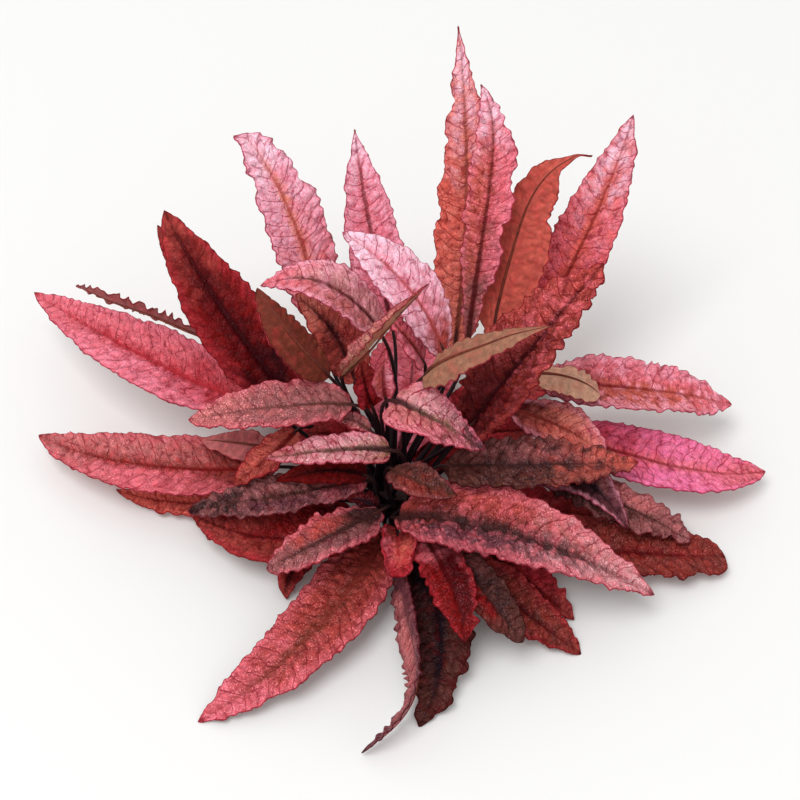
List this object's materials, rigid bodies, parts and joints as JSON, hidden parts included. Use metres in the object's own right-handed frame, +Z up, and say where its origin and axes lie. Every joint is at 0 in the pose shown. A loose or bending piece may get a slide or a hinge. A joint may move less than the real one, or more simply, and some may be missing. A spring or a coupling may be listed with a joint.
{
  "type": "cryptocoryne plant",
  "caption": "Rosette of long pointed ruffled leaves, pink to dark red, on thin stalks around a short crown cut off flat below.",
  "frame": {"origin": "centre of the flat cut under the crown, on the surface that the plant rests on", "axes": "+Z up along the crown's axis, -Y towards the viewer of the picture, +X to the viewer's right"},
  "size_m": [0.2423, 0.1926, 0.114],
  "materials": {
    "pink_leaf": "satin, bumpy between dark red veins",
    "salmon_leaf": "satin, bumpy between dark red veins",
    "red_leaf": "satin, deep red with brighter edges",
    "brown_leaf": "satin, strongly puckered",
    "olive_leaf": "smooth underside",
    "crown": "dark, slightly wet"
  },
  "bodies": {
    "root": {"crown": "crown", "leaf_back_left_dark": "red_leaf", "leaf_back_left_pink": "salmon_leaf", "leaf_back_left_red": "red_leaf", "leaf_back_low_left": "red_leaf", "leaf_back_low_middle": "red_leaf", "leaf_back_low_right": "red_leaf", "leaf_back_middle": "pink_leaf", "leaf_back_right": "pink_leaf", "leaf_back_second": "pink_leaf", "leaf_back_tallest": "salmon_leaf", "leaf_back_turned": "olive_leaf", "leaf_centre_arching": "pink_leaf", "leaf_centre_folded": "olive_leaf", "leaf_centre_olive": "olive_leaf", "leaf_centre_orange": "salmon_leaf", "leaf_centre_ovate": "pink_leaf", "leaf_centre_pale": "pink_leaf", "leaf_centre_turned": "olive_leaf", "leaf_crown_small": "pink_leaf", "leaf_front_dark": "brown_leaf", "leaf_front_left_large": "red_leaf", "leaf_front_left_small": "pink_leaf", "leaf_front_left_under": "red_leaf", "leaf_front_on_edge": "pink_leaf", "leaf_front_red_edge": "red_leaf", "leaf_front_right_brown": "brown_leaf", "leaf_front_right_large": "pink_leaf", "leaf_front_right_red": "red_leaf", "leaf_front_right_short": "red_leaf", "leaf_left_ground": "red_leaf", "leaf_left_inner": "red_leaf", "leaf_left_long": "pink_leaf", "leaf_left_low_red": "red_leaf", "leaf_left_mauve": "brown_leaf", "leaf_left_middle": "pink_leaf", "leaf_left_on_edge": "red_leaf", "leaf_left_orange": "salmon_leaf", "leaf_left_shaded": "red_leaf", "leaf_left_small": "pink_leaf", "leaf_left_tan_small": "olive_leaf", "leaf_left_turned_tan": "olive_leaf", "leaf_left_upper": "pink_leaf", "leaf_right_broad": "red_leaf", "leaf_right_inner": "red_leaf", "leaf_right_low_mauve": "brown_leaf", "leaf_right_low_red": "red_leaf", "leaf_right_magenta": "pink_leaf", "leaf_right_puckered": "brown_leaf", "leaf_right_rimmed": "brown_leaf", "leaf_right_salmon": "salmon_leaf", "leaf_right_shaded": "red_leaf", "leaf_right_tan_turned": "olive_leaf", "leaf_right_upper": "salmon_leaf", "leaf_young_centre": "pink_leaf", "leaf_young_crumpled": "red_leaf", "leaf_young_red": "red_leaf", "leaf_young_rolled": "salmon_leaf", "leaf_young_strip": "pink_leaf"}
  },
  "joints": []
}
